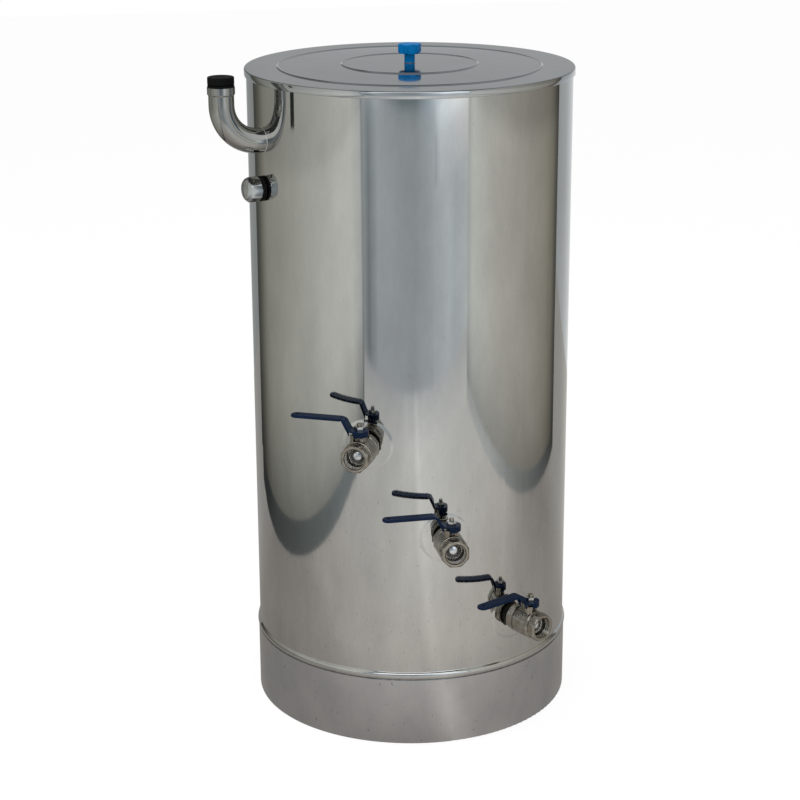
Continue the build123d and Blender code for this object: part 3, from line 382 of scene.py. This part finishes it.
# the shell is nearly a mirror, the lid and the tube are a little duller, the brushed skirt is hazier and the hidden
# sheets are matt; grain lines are about 1 mm wide, drawn coarser than rolling or brushing leaves them so that they show
upright = {"stretch": (1, 1, 60), "size": 0.0011, "strength": 0.15, "deep": 0.00002}
level = {"stretch": (60, 60, 1), "size": 0.0011, "strength": 0.12, "deep": 0.00003}
upFlecks = {"stretch": (1, 1, 4), "size": 0.0021, "from": 0.685, "dark": 0.74, "below": 0.75}
spots = {"stretch": (1, 1, 1.5), "size": 0.006, "from": 0.71, "dark": 0.7}
shellSteel = sheetSteel(
    "brightRolledStainless", ("#cdcdcb", "#bdbdbb"), (0.032, 0.046, 0.014), dict(upright, rolled=0.8, strength=0.04),
    {"stretch": (1, 1, 18), "size": 0.03, "deep": 0.00014, "smear": (1, 1, 3)}, upFlecks)
skirtSteel = sheetSteel(
    "brushedStainless", ("#cbccce", "#bdbfc1"), (0.08, 0.13, 0.05), level,
    {"stretch": (1, 1, 6), "size": 0.04, "deep": 0.0001}, spots)
lidSteel = sheetSteel(
    "pressedStainlessLid", ("#c6c9cb", "#bdc0c2"), (0.05, 0.075, 0.03), dict(upright, stretch=(60, 1, 1)),
    {"stretch": (1, 1, 1), "size": 0.05, "deep": 0.00005}, spots)
vesselSteel = sheetSteel(
    "millStainless", ("#c9c8c5", "#bdbcb8"), (0.26, 0.36, 0.06), upright,
    {"stretch": (1, 1, 6), "size": 0.04, "deep": 0.0001}, spots)
plainSteel = sheetSteel(
    "plainMillStainless", ("#bcbab6", "#aeaca7"), (0.3, 0.42, 0.06), level,
    {"stretch": (1, 1, 1), "size": 0.05, "deep": 0.00012}, spots)
tubeSteel = sheetSteel(
    "polishedStainlessTube", ("#a9a9a7", "#9d9c99"), (0.075, 0.1, 0.02), dict(level, strength=0.03),
    {"stretch": (1, 1, 1), "size": 0.03, "deep": 0.00002}, dict(spots, **{"from": 0.9}))

plating = {"cloud": 0.012, "tones": (0.3, 0.72), "clouds": (0.3, 0.7), "hollow": 0.014, "shade": (0.15, 0.75),
           "gritty": 0.6, "ring": 0.0024, "wavePeriod": 0.3142, "ringStrength": 0.9, "ringDeep": 0.0005,
           "ringWander": 0.4}


def platedMetal(name, tones, shine, grit, deep, recess=0.35, turnedAlong=None):
    # nickel, chrome or zinc over a turned or cast piece: bright, with painted shade darkening its colour in the
    # hollows, with a fine even grit, and the lathe's rings across the azimuth that it was turned along
    material, tree = newMaterial(name)
    cloud = patternFrom(tree, (1, 1, 1), plating["cloud"], 4)
    grain = patternFrom(tree, (1, 1, 1), grit, 2)
    tone = addNode(tree, "ShaderNodeValToRGB", {"Fac": cloud}, list(zip(plating["tones"], tones)))
    # painted shade: ambient occlusion darkens the colour in hollows and recesses, such as the bore
    hollow = addNode(tree, "ShaderNodeAmbientOcclusion", settings={"samples": 8}, Distance=plating["hollow"])
    dull = addNode(tree, "ShaderNodeValToRGB", {"Fac": hollow.outputs["AO"]},
                   list(zip(plating["shade"], (recess, 1.0))))
    colour = addNode(tree, "ShaderNodeMix", {6: tone.outputs[0], 7: dull.outputs[0]}, settings=stain, Factor=1.0)
    rough = addNode(tree, "ShaderNodeMapRange", {"Value": cloud}, **fromTo(*plating["clouds"], *shine))
    relief = addNode(tree, "ShaderNodeBump", {"Height": grain}, Strength=plating["gritty"], Distance=deep)
    if turnedAlong is not None:
        place = addNode(tree, "ShaderNodeTexCoord").outputs["Object"]
        along = (0, 0, float(np.radians(-turnedAlong)))
        moved = addNode(tree, "ShaderNodeMapping", {"Vector": place}, Rotation=along)
        rings = addNode(tree, "ShaderNodeTexWave", {"Vector": moved.outputs[0]}, settings={"bands_direction": "Y"},
                        Scale=plating["wavePeriod"] / plating["ring"], Distortion=plating["ringWander"], Detail=1.0)
        relief = addNode(tree, "ShaderNodeBump", {"Height": rings.outputs["Fac"], "Normal": relief.outputs[0]},
                         Strength=plating["ringStrength"], Distance=plating["ringDeep"])
    metal = addNode(tree, "ShaderNodeBsdfPrincipled", {
        "Base Color": colour.outputs[2], "Roughness": rough.outputs[0], "Normal": relief.outputs[0]}, Metallic=1.0)
    finishMaterial(tree, metal)
    return material


# nickel is a warm grey, zinc is paler and duller, chrome a cold mirror; a cut thread is bright, a pickled weld pale and
# matt, and the pipes are dark as painted shade between valve and shell; lathe rings and grit are drawn coarse to show
nickel = {"tones": ("#aaa59b", "#857f75"), "shine": (0.07, 0.13), "grit": 0.0009, "deep": 0.00006, "recess": 0.28}
nickelBrass = platedMetal("nickelPlatedBrass", **nickel)
threadBrass = platedMetal("cutThreadBrass", ("#cfccc6", "#bdb9b2"), (0.12, 0.2), 0.0009, 0.00002, recess=0.8)
plugChrome = platedMetal("polishedPlug", ("#c3c6c8", "#b4b7b9"), (0.04, 0.08), 0.002, 0.00001, recess=0.6)
zincSteel = platedMetal("brightZincSteel", ("#d2d3d3", "#bfc0bf"), (0.14, 0.24), 0.0008, 0.00003)
chromeBall = platedMetal("hardChrome", ("#dcdddf", "#d2d4d6"), (0.03, 0.06), 0.004, 0.00001, recess=0.3)
weldSteel = platedMetal("pickledWeld", ("#efeeea", "#e0deda"), (0.4, 0.5), 0.0012, 0.00003, recess=0.9)
pipeSteel = platedMetal("pipeThreadPaintedShade", ("#3b3936", "#2b2927"), (0.4, 0.55), 0.0014, 0.0001)

moulding = {"cloud": 0.014, "tones": (0.3, 0.72), "clouds": (0.3, 0.7), "skin": 0.5, "ior": 1.5}


def mouldedCoat(name, tones, shine, grit, deep, sheen):
    # paint, vinyl, plastic or rubber: one colour that clouds a little, with a fine skin
    material, tree = newMaterial(name)
    cloud = patternFrom(tree, (1, 1, 1), moulding["cloud"], 4)
    skin = patternFrom(tree, (1, 1, 1), grit, 2)
    tone = addNode(tree, "ShaderNodeValToRGB", {"Fac": cloud}, list(zip(moulding["tones"], tones)))
    rough = addNode(tree, "ShaderNodeMapRange", {"Value": cloud}, **fromTo(*moulding["clouds"], *shine))
    relief = addNode(tree, "ShaderNodeBump", {"Height": skin}, Strength=moulding["skin"], Distance=deep)
    coat = addNode(tree, "ShaderNodeBsdfPrincipled", {
        "Base Color": tone.outputs[0], "Roughness": rough.outputs[0], "Normal": relief.outputs[0]},
        **{"Specular IOR Level": sheen, "IOR": moulding["ior"]})
    finishMaterial(tree, coat)
    return material


# lever paint is smoother than the dipped vinyl of the grips, the knob shines softly, rubber is matt and ptfe waxy
navyPaint = mouldedCoat("navyLeverPaint", ("#081b34", "#06162b"), (0.26, 0.36), 0.0016, 0.00005, 0.09)
navyVinyl = mouldedCoat("navyDippedVinyl", ("#081a35", "#06162c"), (0.34, 0.44), 0.0011, 0.00006, 0.09)
knobBlue = mouldedCoat("blueMouldedPlastic", ("#006aa8", "#005c96"), (0.3, 0.4), 0.0012, 0.00005, 0.06)
blackRubber = mouldedCoat("blackRubber", ("#0a0a0a", "#060606"), (0.5, 0.65), 0.001, 0.00006, 0.1)
whitePtfe = mouldedCoat("whitePtfe", ("#e6e5e0", "#dcdbd5"), (0.4, 0.5), 0.001, 0.00003, 0.4)

slotFinish = {
    "shell_steel": shellSteel, "skirt_steel": skirtSteel, "vessel_steel": vesselSteel, "plain_steel": plainSteel,
    "tube_steel": tubeSteel, "lid_steel": lidSteel, "knob_blue": knobBlue, "plated_steel": zincSteel,
    "plated_brass": nickelBrass, "chromed_ball": chromeBall, "white_ptfe": whitePtfe, "navy_paint": navyPaint,
    "navy_vinyl": navyVinyl, "black_rubber": blackRubber}
# each valve's azimuth in degrees and its height; the pipes are dark as painted shade between valve and shell,
# the valves keep their lathe rings, and the level plug is brighter than they are
valves = {"lower": (27.0, 0.195), "middle": (0.0, 0.343), "upper": (-27.0, 0.491)}
ownFinish = {"level_plug": plugChrome}
for name, (azimuth, _) in valves.items():
    turnedBrass = platedMetal("nickelTurnedBrass" + name.capitalize(), turnedAlong=azimuth, **nickel)
    ownFinish |= {name + "_stub_pipe": pipeSteel, name + "_valve_body": turnedBrass, name + "_end_piece": turnedBrass}
for part in frame["record"]["subparts"]:
    node = frame["nodes"][part["node"]]
    for index in range(len(node.material_slots)):
        node.material_slots[index].material = ownFinish.get(part["node"], slotFinish[part["material_slot"]])


# details that the solids leave out

right, back, up = np.eye(3)
origin = np.zeros(3)
pole = 0.0003  # radius of the small face that closes a turned piece on its axis
slack = 0.0001  # rows this little under a head's foot still count as part of it
roundOnly = 1.0  # a width across flats that no piece reaches
hexagonCorner = 60  # the higher this power, the sharper a hexagon's corners


def outwards(azimuth):
    # unit vectors of a fitting: straight out of the tank, and to its side
    a = np.radians(azimuth)
    return np.array([np.sin(a), -np.cos(a), 0.0]), np.array([np.cos(a), np.sin(a), 0.0])


def eased(share):
    # a climb from 0 to 1 that starts and ends level: three squares less two cubes
    return share ** 2 * (3 - 2 * share)


def tubeAlong(path, thick, sides=10):
    # a round bead carried along a closed path: centre plus thick times (cos t normal + sin t binormal)
    step = np.roll(path, -1, 0) - np.roll(path, 1, 0)
    tangent = step / np.linalg.norm(step, axis=1, keepdims=True)
    binormal = np.cross(tangent, path - path.mean(0))
    binormal /= np.linalg.norm(binormal, axis=1, keepdims=True)
    normal = np.cross(binormal, tangent)
    t = np.linspace(0, 2 * np.pi, sides, endpoint=False)[None, :, None]
    points = path[:, None] + thick[:, None, None] * (np.cos(t) * normal[:, None] + np.sin(t) * binormal[:, None])
    return points, gridFaces(len(path), sides, True, True)


def turnedPoints(profile, foot, axis, across, upward, columns, flats=None):
    # a profile of heights and radii carried round its axis: foot + height axis + radius (cos t across + sin t upward);
    # flats, one for each row, hold the radius to a rounded hexagon: half the flats over the norm of the three cosines
    height, radius = profile[:, 0][:, None], profile[:, 1][:, None]
    t = np.linspace(0, 2 * np.pi, columns, endpoint=False)[None]
    radius = radius + 0 * t
    if flats is not None:
        cosines = np.abs(np.cos(t[..., None] - np.radians([0, 60, 120])))
        norm = (cosines ** hexagonCorner).sum(-1) ** (1 / hexagonCorner)
        radius = np.minimum(radius, flats[:, None] / 2 / norm)
    spoke = np.cos(t)[..., None] * across + np.sin(t)[..., None] * upward
    return foot + height[..., None] * axis + radius[..., None] * spoke


def arc(centre, radius, fromDegrees, toDegrees, count=8):
    # points of a rounded corner, as heights and radii
    a = np.radians(np.linspace(fromDegrees, toDegrees, count))
    return np.stack([centre[0] + radius * np.sin(a), centre[1] + radius * np.cos(a)], -1)


# elbow weld: a circle round the tube, laid on the shell's curve, its bead rippled as the welder's rod moved on
elbow = {"azimuth": -74.0, "height": 0.928, "weld": 0.0193, "shell": 0.25, "bead": 0.0006, "ripples": 26, "dip": 0.12,
         "perRipple": 24}
out, side = outwards(elbow["azimuth"])
t = np.linspace(0, 2 * np.pi, elbow["perRipple"] * elbow["ripples"], endpoint=False)
across, rise = elbow["weld"] * np.cos(t), elbow["weld"] * np.sin(t)
away = np.sqrt(elbow["shell"] ** 2 - across ** 2)
path = away[:, None] * out + across[:, None] * side + (elbow["height"] + rise)[:, None] * up
bead = elbow["bead"] * (1 - elbow["dip"] + elbow["dip"] * np.abs(np.sin(t * elbow["ripples"])))
points, faces = tubeAlong(path, bead)
newPiece("elbowWeld", points, faces, weldSteel, "tank")

# lid: a pressed sheet, its top a shallow crown plus two eased steps with a bead pressed along each, and a hemmed edge
lid = {"bore": 0.0041, "steps": ((0.1045, 0.0005), (0.2025, 0.0004)), "run": 0.0016, "bead": 0.0011, "beadWide": 0.0011,
       "crown": 0.0026, "top": 1.0212, "sheet": 0.0012, "radius": 0.253, "bend": 0.0022, "foot": 1.0102, "hem": 0.004,
       "ease": 0.0006, "middleRows": (0.098, 6), "stepRows": (-0.005, 0.0025, 48), "plainRows": (0.01, 0.085, 8),
       "clear": 0.001, "columns": 288}
spread = [np.linspace(lid["bore"], *lid["middleRows"])]
for start, _ in lid["steps"]:
    for first, last, rows in (lid["stepRows"], lid["plainRows"]):
        spread.append(np.linspace(start + first, start + last, rows))
r = np.concatenate(spread)
bendStart = lid["radius"] - lid["bend"]
r = np.append(r[r < bendStart - lid["clear"]], bendStart)
z = lid["top"] + lid["crown"] * np.clip(1 - (r / lid["steps"][1][0]) ** 2, 0, 1)
for start, rise in lid["steps"]:
    z += rise * (1 - eased(np.clip((r - start) / lid["run"], 0, 1)))
    z += lid["bead"] * np.exp(-((r - start + lid["beadWide"]) / lid["beadWide"]) ** 2)
topSide = np.stack([z, r], -1)
edge = arc((lid["top"] - lid["bend"], bendStart), lid["bend"], 90, 0)
foot, ease, inside = lid["foot"], lid["ease"], lid["radius"] - lid["sheet"]
folded = inside - lid["sheet"]
hem = np.array([
    [foot + ease, lid["radius"]], [foot, lid["radius"] - ease], [foot, inside - ease], [foot + ease, folded],
    [foot + lid["hem"], folded], [foot + lid["hem"], inside], [lid["top"] - lid["sheet"], inside]])
profile = np.concatenate([topSide, edge[1:], hem, topSide[-2::-1] - [lid["sheet"], 0]])
points = turnedPoints(profile, origin, up, right, back, lid["columns"])
faces = gridFaces(len(profile), lid["columns"], True, True)[:, ::-1]
pressedLid = newPiece("pressedLid", points, faces, lidSteel, "lid", crisp=50)
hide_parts("lid")

# lid knob: a six-sided head under a slightly domed top, on a round stem that flares into it, over a small washer
knob = {"foot": 1.0255, "stem": 0.0137, "stemRadius": 0.008, "head": 0.0144, "flats": 0.0315, "round": 0.0025,
        "bevel": 0.0025, "dome": ((0.0002, 0.5), (0.0003, 0.0)), "columns": 180}
neck = knob["foot"] + knob["stem"]
top = neck + knob["head"]
corner = knob["flats"] / 2 / np.cos(np.pi / 6)
flareMiddle = knob["stemRadius"] + knob["round"]
flare = arc((neck - knob["round"], flareMiddle), knob["round"], 0, 90)
flare[:, 1] = 2 * flareMiddle - flare[:, 1]
shoulder = arc((top - knob["bevel"], corner - knob["bevel"]), knob["bevel"], 0, 90, 10)
dome = [[top + lift, max(corner * share, pole)] for lift, share in knob["dome"]]
profile = np.concatenate([
    [[knob["foot"], pole], [knob["foot"], knob["stemRadius"]]], flare,
    [[neck, knob["flats"] / 2], [neck + knob["bevel"], corner]], shoulder, dome])
flatsThere = np.where(profile[:, 0] > neck - slack, knob["flats"], roundOnly)
points = turnedPoints(profile, origin, up, -back, right, knob["columns"], flatsThere)
faces = gridFaces(len(profile), knob["columns"], False, True)
mouldedKnob = newPiece("mouldedKnob", points, faces, knobBlue, "lid",
                       endRows(len(profile), knob["columns"]), crisp=35)
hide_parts("lid_knob")

washer = {"foot": 1.0247, "sheet": 0.0008, "bore": 0.0041, "radius": 0.0086, "ease": 0.0003, "columns": 96}
top, rim = washer["foot"] + washer["sheet"], washer["radius"] - washer["ease"]
profile = np.concatenate([
    [[washer["foot"], washer["bore"]], [washer["foot"], rim]],
    arc((top - washer["ease"], rim), washer["ease"], 0, 90, 5), [[top, washer["bore"]]]])
points = turnedPoints(profile, origin, up, right, back, washer["columns"])
faces = gridFaces(len(profile), washer["columns"], True, True)
turnedWasher = newPiece("turnedWasher", points, faces, zincSteel, "lid", crisp=35)
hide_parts("knob_washer")

# level gasket: a thick rubber ring on the shell, and the level plug: a six-sided head with a swelling chamfer,
# a bright rimmed face, a little domed, and a shank
plug = {"azimuth": -74.0, "height": 0.855, "seat": 0.2506, "gasket": 0.0056, "lip": 0.0189, "lipRound": 0.001,
        "bore": 0.012, "flats": 0.034, "head": 0.0238, "chamfer": 0.007, "bulge": 0.62, "backBevel": 0.0025,
        "face": 0.0118, "rim": ((0.0002, 0.0008), (0.0, 0.0016)), "dome": 0.0015, "domeShare": 0.84,
        "domeRows": (1, 0.03, 10), "shank": 0.013, "clear": 0.0003, "columns": 180}
out, side = outwards(plug["azimuth"])
middle = plug["height"] * up
capFoot = plug["seat"] + plug["gasket"]
lipRound, lipMiddle = plug["lipRound"], plug["lip"] - plug["lipRound"]
profile = np.concatenate([
    [[plug["seat"], plug["bore"]]], arc((plug["seat"] + lipRound, lipMiddle), lipRound, -90, 0, 6),
    arc((capFoot - lipRound, lipMiddle), lipRound, 0, 90, 6), [[capFoot, plug["bore"]]]])
points = turnedPoints(profile, middle, out, side, up, plug["columns"])
faces = gridFaces(len(profile), plug["columns"], True, True)
rubberGasket = newPiece("rubberGasket", points, faces, blackRubber, "level_gasket", crisp=40)
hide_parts("level_gasket")

face = capFoot + plug["head"]
corner = plug["flats"] / 2 / np.cos(np.pi / 6)
swell = np.linspace(0, 1, 12)[:, None]
bent = plug["face"] + (corner - plug["face"]) * (1 - swell) ** plug["bulge"]
chamfer = np.concatenate([face - plug["chamfer"] * (1 - swell), bent], 1)
rim = [[face + lift, plug["face"] - inset] for lift, inset in plug["rim"]]
dish = np.linspace(*plug["domeRows"])
dome = np.stack([face + plug["dome"] * (1 - dish ** 2), plug["face"] * plug["domeShare"] * dish], -1)
shankFoot, shankRadius = capFoot - plug["shank"], plug["bore"] - plug["clear"]
profile = np.concatenate([
    [[shankFoot, pole], [shankFoot, shankRadius], [capFoot, shankRadius], [capFoot, plug["flats"] / 2],
     [capFoot + plug["backBevel"], corner]], chamfer, rim, dome])
flatsThere = np.where(profile[:, 0] > capFoot - slack, plug["flats"], roundOnly)
points = turnedPoints(profile, middle, out, side, up, plug["columns"], flatsThere)
faces = gridFaces(len(profile), plug["columns"], False, True)
chromePlug = newPiece("chromePlug", points, faces, plugChrome, "level_plug",
                      endRows(len(profile), plug["columns"]), crisp=35)
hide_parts("level_plug")

# wall collars: a thin disc laid on the shell's curve, its edge eased down to the shell
collar = {"bore": 0.0168, "top": 0.0345, "outer": 0.0402, "shell": 0.25, "rise": 0.0005, "proud": 0.00003,
          "deep": 0.0009, "rows": 16, "columns": 144}
for name, (azimuth, height) in valves.items():
    out, side = outwards(azimuth)
    t = np.linspace(0, 2 * np.pi, collar["columns"], endpoint=False)[None]
    ring = np.append(np.linspace(collar["outer"], collar["top"], collar["rows"] - 1), collar["bore"])[:, None]
    climb = np.clip((collar["outer"] - ring) / (collar["outer"] - collar["top"]), 0, 1)
    lift = collar["rise"] * eased(climb) + collar["proud"]
    across, rise = ring * np.cos(t), ring * np.sin(t)
    away = np.sqrt((collar["shell"] + lift) ** 2 - across ** 2)
    points = away[..., None] * out + across[..., None] * side + (height + rise)[..., None] * up
    points = np.concatenate([points, points[::-1] - collar["deep"] * out])
    faces = gridFaces(2 * collar["rows"], collar["columns"], True, True)
    laidCollar = newPiece(name + "LaidCollar", points, faces, shellSteel, "tank", crisp=40)
    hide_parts(name + "_wall_collar")

# outlet threads: one start of pipe thread, a ridge wound along the bore, its height eased down at both ends;
# the ridge's section is in shares of the pitch and of its height
thread = {"wall": 0.01515, "tall": 0.0007, "pitch": 0.002309, "from": 0.3093, "to": 0.3186, "steps": 64, "least": 0.05,
          "ridge": [[-0.33, -0.15], [-0.16, 1.0], [0.16, 1.0], [0.33, -0.15]]}
section = np.array(thread["ridge"])
run = thread["to"] - thread["from"]
turns = run / thread["pitch"]
t = np.linspace(0, 1, int(turns * thread["steps"]))
ease = np.clip(np.minimum(t, 1 - t) * turns * 2, thread["least"], 1)
along = thread["from"] + run * t[:, None] + section[None, :, 0] * thread["pitch"]
radius = thread["wall"] - section[None, :, 1] * thread["tall"] * ease[:, None]
turn = (2 * np.pi * turns * t)[:, None, None]
faces, ends = gridFaces(len(t), len(section), False, True), endRows(len(t), len(section))
for name, (azimuth, height) in valves.items():
    out, side = outwards(azimuth)
    points = along[..., None] * out + radius[..., None] * (np.cos(turn) * side + np.sin(turn) * up) + height * up
    newPiece(name + "OutletThread", points, faces, threadBrass, "tank", ends)
print("details:", len(valves), "collars and threads, lid, knob, plug and weld")


bpy.context.scene.view_settings.view_transform = "Standard"
